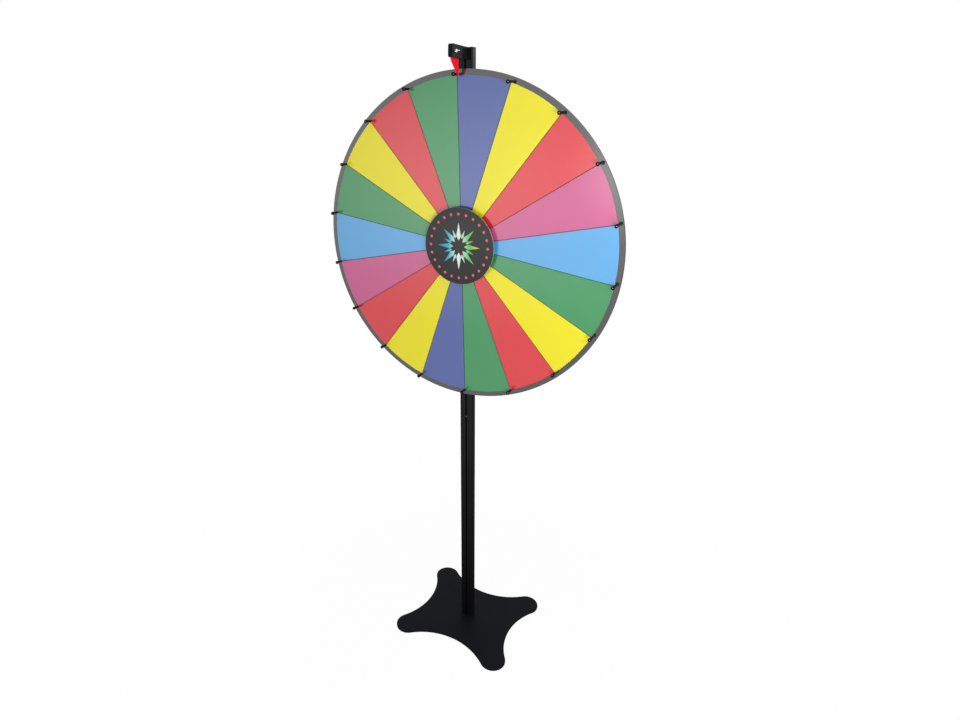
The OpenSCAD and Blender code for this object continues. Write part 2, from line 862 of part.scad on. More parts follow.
module hub_nuts() color("#8d9096")
    at_wheel()
        at_hub_bolts()
            translate([0, 0, flange_back - hub_nut_h])
                difference() {
                    hex_prism(hub_nut_af, hub_nut_h);
                    translate([0, 0, -CUT])
                        cylinder(d = hub_bolt_d + 2 * screw_gap, h = hub_nut_h + 2 * CUT);
                }

module cover_spacer() color("#232323")
    at_wheel()
        translate([0, 0, clamp_front])
            ring(flange_d / 2, spacer_in_r, cover_back - clamp_front);

module hub_cover() color("#2c2b2a")
    at_wheel()
        translate([0, 0, cover_back])
            cylinder(d = cover_d, h = cover_t, $fn = 120);

// Outline of the flapper: a tab in the bracket and a blade that narrows to a round tip
module flapper_outline() {
    tip = raked([tip_s, tip_z + tip_r]);
    shoulder = [tab_front - shoulder_r, -shoulder_drop];
    slant = belt(tip, tip_r, shoulder, shoulder_r, -1);
    polygon([
        [tab_back, tab_h], [tab_back, 0], touch([tab_back, 0], tip, tip_r, 1), tip,
        tip + tip_r * slant, shoulder + shoulder_r * slant, shoulder,
        [tab_front, -shoulder_drop], [tab_front, tab_h]
    ]);
    translate(tip) circle(tip_r);
    translate(shoulder) circle(shoulder_r);
}

module flapper() color("#d3202c")
    difference() {
        at_bracket()
            translate([0, 0, -flapper_t / 2])
                linear_extrude(flapper_t) flapper_outline();
        at_clamp()
            translate([0, 0, -flapper_t])
                cylinder(d = clamp_bolt_d + 2 * slide_gap, h = 2 * flapper_t);
    }

base_plate();
rubber_feet();
base_screws();
lower_post();
upper_post();
splice_bar();
splice_screws();
post_cap();
flapper_bracket();
bracket_screws();
clamp_bolt();
wing_nut();
axle();
axle_washer();
axle_nut();
axle_clip();
bearing_inner_rings();
bearing_spacer();
wheel_board();
wheel_border();
segments_violet();
segments_yellow();
segments_red();
segments_pink();
segments_sky();
segments_green();
peg_pins();
peg_sleeves();
peg_washers();
peg_nuts();
hub_barrel();
clamp_plate();
hub_bolts();
hub_nuts();
bearing_outer_rings();
bearing_seals();
cover_spacer();
hub_cover();
bearing_cages();
bearing_balls();
flapper();
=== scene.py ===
"""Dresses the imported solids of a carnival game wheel: a wheel ringed with pegs on a floor stand.

Sizes are in millimetres, and MM turns them to metres. The frame is the solids' own: the origin is
on the floor under the post, +Z is up and the wheel faces -Y.
"""

import logging
import math
from dataclasses import dataclass, field
from enum import Enum
from typing import Any, Callable

import bmesh
import bpy
from mathutils import Matrix, Vector


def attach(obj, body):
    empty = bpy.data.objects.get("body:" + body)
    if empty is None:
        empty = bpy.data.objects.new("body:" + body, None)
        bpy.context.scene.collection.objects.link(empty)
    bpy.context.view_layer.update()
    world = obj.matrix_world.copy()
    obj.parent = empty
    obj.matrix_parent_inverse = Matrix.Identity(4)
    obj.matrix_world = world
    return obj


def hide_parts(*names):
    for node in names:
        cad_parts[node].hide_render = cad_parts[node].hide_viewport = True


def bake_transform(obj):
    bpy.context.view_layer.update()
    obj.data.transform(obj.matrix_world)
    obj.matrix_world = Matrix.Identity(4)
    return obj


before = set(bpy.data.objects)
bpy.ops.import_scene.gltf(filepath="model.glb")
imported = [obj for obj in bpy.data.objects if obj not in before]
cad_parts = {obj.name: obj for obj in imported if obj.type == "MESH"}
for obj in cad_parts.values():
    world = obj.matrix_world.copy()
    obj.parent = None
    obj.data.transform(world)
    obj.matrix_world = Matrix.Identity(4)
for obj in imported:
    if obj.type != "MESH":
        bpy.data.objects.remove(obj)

LOG = logging.getLogger("game_wheel")
MM = 0.001
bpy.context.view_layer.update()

# Width and height of the image, in pixels
IMAGE_W, IMAGE_H = 960, 720
# Parts of the sRGB curve: end and slope of its straight start, offset and power of the rest
SRGB_KNEE, SRGB_SLOPE, SRGB_OFFSET, SRGB_POWER = 0.04045, 12.92, 0.055, 2.4
# Levels of detail in a noise that draws a relief, and in one that draws patches or rings
FINE_DETAIL, PATCH_DETAIL = 2.0, 3.0
# Band that nearly all of a noise's values lie in
NOISE_LOW, NOISE_HIGH = 0.3, 0.7
# Points closer than this are one point, in millimetres
MERGE_MM = 0.001
# Faces that bend less than this are one flat face, in degrees
FLAT_DEG = 0.5
# Edges that bend less than this are shaded smooth, and those that bend more than this are broken
SMOOTH_DEG, SHARP_DEG = 32.0, 42.0
# How much more a large face counts than a small one in the shading
FACE_WEIGHT = 80
# Height that counts as none, in metres
HAIR = 1e-6
# Middle of a lamp's face, whose sides run from 0 to 1
LAMP_MIDDLE = 0.5

# Frame of the wheel's face: x to the right, y up and z out of the face
WHEEL_CENTRE = Vector((0.0, -37.5, 1359.0)) * MM
ON_FACE = Matrix.Translation(WHEEL_CENTRE) @ Matrix.Rotation(math.pi / 2, 4, "X")

Socket = bpy.types.NodeSocket
Tree = bpy.types.NodeTree
Piece = bpy.types.Object
Colour = tuple[float, float, float, float]


class Body(Enum):
    """Bodies of the part that a piece can move with."""

    STAND = "stand"
    WHEEL = "wheel"
    FLAPPER = "flapper"


class Pick(Enum):
    """What is selected in edit mode."""

    VERT = "VERT"
    EDGE = "EDGE"
    FACE = "FACE"


class Hue(Enum):
    """Colours of the finishes, as sRGB hex values."""

    VIOLET = "#495b9f"
    VIOLET_PALE = "#4c5ea2"
    YELLOW = "#ede101"
    YELLOW_PALE = "#eee304"
    RED = "#d92933"
    RED_PALE = "#db2e38"
    PINK = "#c75288"
    PINK_PALE = "#c9568b"
    SKY = "#54a4dd"
    SKY_PALE = "#58a7df"
    GREEN = "#338f54"
    GREEN_PALE = "#379258"
    BORDER = "#282827"
    BORDER_PALE = "#2c2c2b"
    BOARD = "#1a1b1b"
    BOARD_PALE = "#202121"
    COVER = "#1e1e1d"
    COVER_PALE = "#222221"
    # Wall of the hub's disc: the acrylic's edge, with a painted highlight of the rim
    ACRYLIC_EDGE = "#b4b4b2"
    ACRYLIC_EDGE_PALE = "#bebebc"
    CORAL = "#d8606b"
    CORAL_PALE = "#de6a74"
    BURST_BLUE = "#3f7fd0"
    BURST_TEAL = "#35b3c4"
    BURST_WHITE = "#e8f1ee"
    BURST_GREEN = "#58bf6a"
    BURST_YELLOW = "#e6d23a"
    POWDER = "#0d0e12"
    POWDER_PALE = "#131418"
    ANODISED = "#08080a"
    ANODISED_PALE = "#0c0c0e"
    PLASTIC = "#151517"
    PLASTIC_PALE = "#1b1b1e"
    RUBBER = "#101010"
    RUBBER_DUSTY = "#1d1c1b"
    ZINC = "#a9abac"
    ZINC_BLUE = "#b6bbc0"
    STEEL = "#dfe0e1"
    STEEL_DARK = "#cfd0d2"
    PIN = "#f6f6f7"
    PIN_DARK = "#ececee"
    BLACKENED = "#3c3d3f"
    BLACKENED_PALE = "#4a4b4d"
    ALUMINIUM = "#b9bbbd"
    ALUMINIUM_DARK = "#a6a8ab"
    BRASS = "#b58f45"
    BRASS_DARK = "#9d7b3a"
    FLAP = "#ee0324"
    FLAP_PALE = "#f10a2c"
    WHITE = "#ffffff"
    FLOOR = "#e9e9e9"


def linear(hue: Hue) -> Colour:
    """Turns a colour's sRGB hex value into linear light.

    Args:
        hue: The colour.

    Returns:
        Red, green, blue and a full alpha, linear.
    """
    parts = (int(hue.value[i : i + 2], 16) / 255 for i in (1, 3, 5))
    light = (
        part / SRGB_SLOPE
        if part <= SRGB_KNEE
        else ((part + SRGB_OFFSET) / (1 + SRGB_OFFSET)) ** SRGB_POWER
        for part in parts
    )
    return (*light, 1.0)


def add(
    tree: Tree,
    kind: str,
    settings: dict[str | int, Any] | None = None,
    links: dict[str | int, Socket] | None = None,
) -> bpy.types.Node:
    """Adds a node with its settings and links.

    Args:
        tree: The node tree that takes the node.
        kind: The node's type.
        settings: Values by a property's name, or by an input's name or number. The key "stops"
            gives a colour ramp's places and colours.
        links: Sockets that feed the node, by an input's name or number.

    Returns:
        The new node.
    """
    node = tree.nodes.new(kind)
    for key, value in (settings or {}).items():
        if key == "stops":
            for _ in value[2:]:
                node.color_ramp.elements.new(0.5)
            for element, (at, colour) in zip(node.color_ramp.elements, value):
                element.position, element.color = at, colour
        elif isinstance(key, str) and hasattr(node, key):
            setattr(node, key, value)
        else:
            node.inputs[key].default_value = value
    for key, socket in (links or {}).items():
        tree.links.new(socket, node.inputs[key])
    return node


@dataclass(frozen=True)
class Finish:
    """Finish of a surface: two close shades, a band of roughness and a grain in relief.

    Attributes:
        name: What the material is and how its surface was made.
        shade: The main colour.
        patch: The colour of the patches in it.
        patch_mm: Size of a patch.
        rough: Lowest and highest roughness.
        grain_mm: Size of a grain of the relief.
        relief_mm: Depth of the relief.
        sockets: Values that are the same all over the surface, by the shader's socket.
    """

    name: str
    shade: Hue
    patch: Hue
    patch_mm: float
    rough: tuple[float, float]
    grain_mm: float
    relief_mm: float
    sockets: dict[str, float] = field(default_factory=dict)

    def grain(self, tree: Tree, place: Socket) -> Socket:
        """Draws an even grain.

        Args:
            tree: The material's node tree.
            place: Object coordinates, in metres.

        Returns:
            The grain's height, from 0 to 1.
        """
        noise = {"Scale": 1 / (self.grain_mm * MM), "Detail": FINE_DETAIL}
        return add(tree, "ShaderNodeTexNoise", noise, {"Vector": place}).outputs[0]

    def colour(self, tree: Tree, patches: Socket, place: Socket) -> Socket:
        """Mixes the two shades by the patches.

        Args:
            tree: The material's node tree.
            patches: The patches, from 0 to 1.
            place: Object coordinates, in metres.

        Returns:
            The colour.
        """
        shades = {"data_type": "RGBA", 6: linear(self.shade), 7: linear(self.patch)}
        return add(tree, "ShaderNodeMix", shades, {0: patches}).outputs[2]

    def material(self) -> bpy.types.Material:
        """Builds the finish.

        Returns:
            The material.
        """
        made = bpy.data.materials.new(self.name)
        made.use_nodes = True
        tree = made.node_tree
        tree.nodes.clear()
        place = add(tree, "ShaderNodeTexCoord").outputs["Object"]
        noise = {"Scale": 1 / (self.patch_mm * MM), "Detail": PATCH_DETAIL}
        patches = add(tree, "ShaderNodeTexNoise", noise, {"Vector": place}).outputs[0]
        low, high = self.rough
        spread = {"From Min": NOISE_LOW, "From Max": NOISE_HIGH, "To Min": low, "To Max": high}
        rough = add(tree, "ShaderNodeMapRange", spread, {"Value": patches})
        relief = {"Distance": self.relief_mm * MM, "Strength": 1.0}
        bump = add(tree, "ShaderNodeBump", relief, {"Height": self.grain(tree, place)})
        feeds = {
            "Base Color": self.colour(tree, patches, place),
            "Roughness": rough.outputs[0],
            "Normal": bump.outputs[0],
        }
        shader = add(tree, "ShaderNodeBsdfPrincipled", dict(self.sockets), feeds)
        add(tree, "ShaderNodeOutputMaterial", links={"Surface": shader.outputs[0]})
        return made


@dataclass(frozen=True)
class DrawnFinish(Finish):
    """Finish with long lines along the post, as a die leaves them.

    Attributes:
        line_mm: Length of a line.
    """

    line_mm: float = 400.0

    def grain(self, tree: Tree, place: Socket) -> Socket:
        """Draws the grain out along z.

        Args:
            tree: The material's node tree.
            place: Object coordinates, in metres.

        Returns:
            The grain's height, from 0 to 1.
        """
        squeeze = {"Scale": (1.0, 1.0, self.grain_mm / self.line_mm)}
        drawn = add(tree, "ShaderNodeMapping", squeeze, {"Vector": place})
        return super().grain(tree, drawn.outputs[0])


@dataclass(frozen=True)
class TurnedFinish(Finish):
    """Finish with rings about the wheel's axis, as a lathe's tool leaves them."""

    def grain(self, tree: Tree, place: Socket) -> Socket:
        """Draws rings of uneven depth about the wheel's axis.

        Args:
            tree: The material's node tree.
            place: Object coordinates, in metres.

        Returns:
            The rings' height, from 0 to 1.
        """
        flat = {"Location": (0.0, 0.0, -WHEEL_CENTRE.z), "Scale": (1.0, 0.0, 1.0)}
        centred = add(tree, "ShaderNodeMapping", flat, {"Vector": place})
        length = {"operation": "LENGTH"}
        radius = add(tree, "ShaderNodeVectorMath", length, {0: centred.outputs[0]})
        scale = 1 / (self.grain_mm * MM)
        rings = {"noise_dimensions": "1D", "Scale": scale, "Detail": PATCH_DETAIL}
        return add(tree, "ShaderNodeTexNoise", rings, {"W": radius.outputs["Value"]}).outputs[0]


@dataclass(frozen=True)
class GradedFinish(Finish):
    """Print whose colour runs from the wheel's left to its right.

    Attributes:
        bands: The colours, from left to right.
        reach_mm: Distance of the first and the last colour from the wheel's axis.
    """

    bands: tuple[Hue, ...] = ()
    reach_mm: float = 1.0

    def colour(self, tree: Tree, patches: Socket, place: Socket) -> Socket:
        """Runs through the bands along x.

        Args:
            tree: The material's node tree.
            patches: The patches, from 0 to 1.
            place: Object coordinates, in metres.

        Returns:
            The colour.
        """
        across = add(tree, "ShaderNodeSeparateXYZ", links={0: place})
        ends = {"From Min": -self.reach_mm * MM, "From Max": self.reach_mm * MM}
        along = add(tree, "ShaderNodeMapRange", ends, {"Value": across.outputs["X"]})
        last = len(self.bands) - 1
        stops = [(k / last, linear(hue)) for k, hue in enumerate(self.bands)]
        return add(tree, "ShaderNodeValToRGB", {"stops": stops}, {0: along.outputs[0]}).outputs[0]


METAL = {"Metallic": 1.0}


def shine(level: float) -> dict[str, float]:
    """Says how strongly a surface that is no metal shines, where 0.5 is the shader's own level."""
    return {"Specular IOR Level": level}


def gloss_print(name: str, shade: Hue, pale: Hue, sheen: float = 0.31) -> Finish:
    """Gives one colour of the wheel's print.

    A print on vinyl under a gloss laminate: an even colour with a faint mottle, and a clear skin
    that mirrors the hub, the pegs and the flapper beside it. The laminate's peel is about 1 mm
    wide, drawn at 8 mm so that it shows.

    Args:
        name: The colour's name.
        shade: The ink.
        pale: The ink where the mottle is thin.
        sheen: How strongly the ink itself shines under the skin.

    Returns:
        The finish.
    """
    skin = {**shine(sheen), "Coat Weight": 1.0, "Coat Roughness": 0.04, "Coat IOR": 1.5}
    return Finish(
        f"gloss_laminated_print_{name}", shade, pale, patch_mm=45.0, rough=(0.12, 0.18),
        grain_mm=8.0, relief_mm=0.003, sockets=skin,
    )


PRINTS = {
    "segments_violet": gloss_print("violet", Hue.VIOLET, Hue.VIOLET_PALE),
    "segments_yellow": gloss_print("yellow", Hue.YELLOW, Hue.YELLOW_PALE, sheen=0.05),
    "segments_red": gloss_print("red", Hue.RED, Hue.RED_PALE),
    "segments_pink": gloss_print("pink", Hue.PINK, Hue.PINK_PALE),
    "segments_sky": gloss_print("sky", Hue.SKY, Hue.SKY_PALE),
    "segments_green": gloss_print("green", Hue.GREEN, Hue.GREEN_PALE),
    "wheel_border": gloss_print("black", Hue.BORDER, Hue.BORDER_PALE, sheen=0.72),
}

# Foamed PVC sheet, calendered: a dull charcoal with a fine pebble, drawn at 2 mm so that it shows
FOAM_BOARD = Finish(
    "foamed_pvc_board", Hue.BOARD, Hue.BOARD_PALE, patch_mm=60.0, rough=(0.5, 0.65),
    grain_mm=2.0, relief_mm=0.02, sockets=shine(0.3),
)
# Acrylic disc with a printed face: near black, smooth, with a soft sheen all over
COVER_FACE = Finish(
    "printed_acrylic_black", Hue.COVER, Hue.COVER_PALE, patch_mm=30.0, rough=(0.28, 0.36),
    grain_mm=6.0, relief_mm=0.004, sockets=shine(0.4),
)
# Sawn edge of the acrylic and painted highlight of the rim: pale and dull, a fine light line round
# the disc
COVER_EDGE_AND_HIGHLIGHT = Finish(
    "sawn_acrylic_edge_and_painted_highlight", Hue.ACRYLIC_EDGE, Hue.ACRYLIC_EDGE_PALE, patch_mm=8.0, rough=(0.5, 0.6),
    grain_mm=1.0, relief_mm=0.01, sockets=shine(0.4),
)
# Screen ink on the disc: flat colour that is a little duller than the acrylic round it
CORAL_INK = Finish(
    "screen_ink_coral", Hue.CORAL, Hue.CORAL_PALE, patch_mm=12.0, rough=(0.4, 0.5),
    grain_mm=1.5, relief_mm=0.006, sockets=shine(0.35),
)
# Screen ink laid as a blend of five colours, from blue through white to yellow
BLEND_INK = GradedFinish(
    "screen_ink_blend", Hue.BURST_BLUE, Hue.BURST_TEAL, patch_mm=12.0, rough=(0.4, 0.5),
    grain_mm=1.5, relief_mm=0.006, sockets=shine(0.35), reach_mm=66.0,
    bands=(Hue.BURST_BLUE, Hue.BURST_TEAL, Hue.BURST_WHITE, Hue.BURST_GREEN, Hue.BURST_YELLOW),
)
# Polyester powder coat on steel: black with a cast of blue and a fine peel, drawn at 2.5 mm
POWDER_COAT = Finish(
    "powder_coated_steel_black", Hue.POWDER, Hue.POWDER_PALE, patch_mm=50.0, rough=(0.45, 0.6),
    grain_mm=2.5, relief_mm=0.05, sockets=shine(0.06),
)
# Black anodised aluminium, extruded: a satin black with lines of the die along it, drawn at 1.2 mm
ANODISED = DrawnFinish(
    "anodised_extrusion_black", Hue.ANODISED, Hue.ANODISED_PALE, patch_mm=80.0, rough=(0.3, 0.42),
    grain_mm=1.2, relief_mm=0.012, sockets=shine(0.2),
)
# ABS, moulded on a spark-eroded tool: black with a dull, fine grain, drawn at 1 mm
MOULDED_ABS = Finish(
    "moulded_abs_black", Hue.PLASTIC, Hue.PLASTIC_PALE, patch_mm=18.0, rough=(0.24, 0.32),
    grain_mm=1.0, relief_mm=0.01, sockets=shine(0.035),
)
# PVC tube on the pegs, extruded and heat shrunk: black, with a soft and even sheen
PEG_SLEEVE = Finish(
    "shrunk_pvc_black", Hue.PLASTIC, Hue.PLASTIC_PALE, patch_mm=6.0, rough=(0.3, 0.4),
    grain_mm=1.5, relief_mm=0.01, sockets=shine(0.05),
)
# Moulded rubber: dead black, dusty in patches
RUBBER = Finish(
    "moulded_rubber", Hue.RUBBER, Hue.RUBBER_DUSTY, patch_mm=9.0, rough=(0.75, 0.9),
    grain_mm=0.8, relief_mm=0.03, sockets=shine(0.2),
)
# Zinc-plated steel, tumbled: grey with a bluish passivate in patches
ZINC_PLATE = Finish(
    "zinc_plated_steel", Hue.ZINC, Hue.ZINC_BLUE, patch_mm=4.0, rough=(0.28, 0.42),
    grain_mm=0.7, relief_mm=0.006, sockets=METAL,
)
# Nickel-plated steel, filed, of the pegs' pins and the wing nut: a pale metal from every side
PIN_STEEL = Finish(
    "filed_nickel_pin", Hue.PIN, Hue.PIN_DARK, patch_mm=3.0, rough=(0.4, 0.5),
    grain_mm=0.7, relief_mm=0.004, sockets=METAL,
)
# Blackened steel, oiled: nearly black heads with a faint glint
BLACKENED_STEEL = Finish(
    "blackened_steel", Hue.BLACKENED, Hue.BLACKENED_PALE, patch_mm=4.0, rough=(0.3, 0.42),
    grain_mm=0.6, relief_mm=0.004, sockets=METAL,
)
# Through-hardened bearing steel, ground: a bright, smooth metal
BEARING_STEEL = Finish(
    "ground_bearing_steel", Hue.STEEL, Hue.STEEL_DARK, patch_mm=3.0, rough=(0.1, 0.18),
    grain_mm=0.6, relief_mm=0.001, sockets=METAL,
)
# Aluminium, turned: rings of the tool's feed, 0.2 mm apart, drawn at 0.8 mm so that they show
TURNED_ALUMINIUM = TurnedFinish(
    "turned_aluminium", Hue.ALUMINIUM, Hue.ALUMINIUM_DARK, patch_mm=20.0, rough=(0.26, 0.36),
    grain_mm=0.8, relief_mm=0.01, sockets=METAL,
)
# Brass sheet, pressed: yellow with a dull tarnish in patches
PRESSED_BRASS = Finish(
    "pressed_brass", Hue.BRASS, Hue.BRASS_DARK, patch_mm=2.0, rough=(0.3, 0.4),
    grain_mm=0.5, relief_mm=0.003, sockets=METAL,
)
# Plasticised PVC sheet, die cut: a vivid red with a smooth skin that hardly shines
FLEXIBLE_VINYL = Finish(
    "flexible_vinyl_red", Hue.FLAP, Hue.FLAP_PALE, patch_mm=14.0, rough=(0.3, 0.4),
    grain_mm=3.0, relief_mm=0.01, sockets=shine(0.02),
)


class Bench:
    """Modelling by operators, with one piece on the bench at a time."""

    @staticmethod
    def clear() -> None:
        """Leaves edit mode and deselects everything."""
        if bpy.context.mode != "OBJECT":
            bpy.ops.object.mode_set(mode="OBJECT")
        bpy.ops.object.select_all(action="DESELECT")

    @staticmethod
    def take(piece: Piece) -> None:
        """Selects this piece alone and makes it active.

        Args:
            piece: The piece.
        """
        Bench.clear()
        piece.select_set(True)
        bpy.context.view_layer.objects.active = piece

    @staticmethod
    def new(name: str) -> Piece:
        """Names the primitive that was just added and opens it in edit mode.

        Args:
            name: The piece's name.

        Returns:
            The piece.
        """
        piece = bpy.context.object
        piece.name = name
        bpy.ops.object.transform_apply(location=True, rotation=True, scale=True)
        bpy.ops.object.mode_set(mode="EDIT")
        return piece

    @staticmethod
    def pick(piece: Piece, kind: Pick, test: Callable[[Any], bool]) -> None:
        """Selects what passes a test, in edit mode.

        Args:
            piece: The piece on the bench.
            kind: What is selected.
            test: Says whether a vertex, an edge or a face is selected.
        """
        bpy.ops.mesh.select_mode(type=kind.value)
        bpy.ops.mesh.select_all(action="DESELECT")
        mesh = bmesh.from_edit_mesh(piece.data)
        parts = {Pick.VERT: mesh.verts, Pick.EDGE: mesh.edges, Pick.FACE: mesh.faces}[kind]
        for part in parts:
            if test(part):
                part.select_set(True)
        mesh.select_flush_mode()
        bmesh.update_edit_mesh(piece.data)

    @staticmethod
    def copy(piece: Piece, turn: Matrix) -> Piece:
        """Copies a piece, with a mesh of its own.

        Args:
            piece: The piece.
            turn: Where the copy goes, from the piece's place.

        Returns:
            The copy.
        """
        made = piece.copy()
        made.data = piece.data.copy()
        made.data.transform(turn)
        bpy.context.scene.collection.objects.link(made)
        return made

    @staticmethod
    def join(pieces: list[Piece]) -> Piece:
        """Joins pieces into the first of them.

        Args:
            pieces: The pieces.

        Returns:
            The joined piece.
        """
        Bench.take(pieces[0])
        for piece in pieces:
            piece.select_set(True)
        bpy.ops.object.join()
        return pieces[0]

    @staticmethod
    def seat(piece: Piece, place: Matrix) -> None:
        """Puts a piece in its place, with the place in its mesh.

        Args:
            piece: The piece.
            place: Where it goes, from the origin.
        """
        Bench.take(piece)
        piece.matrix_world = place
        bpy.ops.object.transform_apply(location=True, rotation=True, scale=True)

    @staticmethod
    def modify(piece: Piece, kind: str, **settings: Any) -> None:
        """Adds a modifier and applies it.

        Args:
            piece: The piece.
            kind: The modifier's type.
            **settings: The modifier's values.
        """
        Bench.take(piece)
        modifier = piece.modifiers.new(kind.lower(), kind)
        for key, value in settings.items():
            setattr(modifier, key, value)
        bpy.ops.object.modifier_apply(modifier=modifier.name)

    @staticmethod
    def smooth(piece: Piece) -> None:
        """Shades a piece smooth, apart from its sharp edges."""
        Bench.take(piece)
        bpy.ops.object.shade_smooth_by_angle(angle=math.radians(SMOOTH_DEG))


def dress(piece: Piece, made: bpy.types.Material) -> None:
    """Gives a piece one material all over.

    Args:
        piece: The piece.
        made: The material.
    """
    if piece.material_slots:
        for slot in piece.material_slots:
            slot.material = made
    else:
        piece.data.materials.append(made)


def fit(
    piece: Piece, body: Body, slot: str, nodes: tuple[str, ...], made: bpy.types.Material
) -> None:
    """Dresses a finished piece and lets it ride on its body.

    Args:
        piece: The piece.
        body: The body that it moves with.
        slot: The record's material slot; not used.
        nodes: The solids that it stands for.
        made: Its material.
    """
    piece.data.materials.clear()
    dress(piece, made)
    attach(piece, body.value)
    if nodes:
        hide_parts(*nodes)
    LOG.info("%s rides on %s", piece.name, body.value)


@dataclass
class SoftenedSolid:
    """A solid whose sharp edges are broken, as deburring, moulding or paint leaves them.

    Attributes:
        node: The solid's name.
        body: The body that it moves with.
        slot: The record's material slot.
        finish: Its finish.
        edge: Width of the broken edge, in millimetres.
        steps: Number of facets across the edge.
    """

    node: str
    body: Body
    slot: str
    finish: Finish
    edge: float
    steps: int = 2

    def build(self) -> Piece:
        """Copies the solid's mesh, merges it and rounds its edges.

        Returns:
            The piece.
        """
        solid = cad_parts[self.node]
        piece = bpy.data.objects.new(f"{self.node}_softened", solid.data.copy())
        bpy.context.scene.collection.objects.link(piece)
        Bench.take(piece)
        bpy.ops.object.mode_set(mode="EDIT")
        bpy.ops.mesh.select_all(action="SELECT")
        bpy.ops.mesh.customdata_custom_splitnormals_clear()
        bpy.ops.mesh.remove_doubles(threshold=MERGE_MM * MM)
        bpy.ops.mesh.dissolve_limited(angle_limit=math.radians(FLAT_DEG))
        Bench.clear()
        Bench.modify(
            piece,
            "BEVEL",
            width=self.edge * MM,
            segments=self.steps,
            limit_method="ANGLE",
            angle_limit=math.radians(SHARP_DEG),
        )
        self.divide(piece)
        Bench.smooth(piece)
        Bench.modify(piece, "WEIGHTED_NORMAL", keep_sharp=True, weight=FACE_WEIGHT)
        return piece

    def divide(self, piece: Piece) -> None:
        """Leaves a rigid piece's mesh as it is."""

    def make(self) -> None:
        """Builds the piece and fits it in the solid's place."""
        fit(self.build(), self.body, self.slot, (self.node,), self.finish.material())


@dataclass
class FlapperBlade(SoftenedSolid):
    """The flexible pointer: a tab in the bracket and a blade that narrows to a round tip.

    Attributes:
        root: Where the blade leaves the bracket, as y and z.
        tip: Centre of the round tip.
        strip: Height of one strip of the mesh, so that the blade can bend.
    """

    root: tuple[float, float] = (-50.4, 1839.7)
    tip: tuple[float, float] = (-50.0, 1799.5)
    strip: float = 1.5

    def divide(self, piece: Piece) -> None:
        """Cuts the blade into strips that can turn against each other.

        Args:
            piece: The blade.
        """
        Bench.take(piece)
        bpy.ops.object.mode_set(mode="EDIT")
        height = self.root[1]
        while height > self.tip[1]:
            bpy.ops.mesh.select_all(action="SELECT")
            bpy.ops.mesh.bisect(plane_co=Vector((0, 0, height)) * MM, plane_no=(0, 0, 1))
            height -= self.strip
        Bench.clear()

    def make(self) -> None:
        """Builds the blade and dresses it, with its place baked into its mesh."""
        blade = self.build()
        blade.data.materials.clear()
        dress(blade, self.finish.material())
        ends = {"start": Vector((0, *self.root)) * MM, "end": Vector((0, *self.tip)) * MM}
        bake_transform(blade)
        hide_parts(self.node)
        LOG.info("%s bends from the bracket", blade.name)


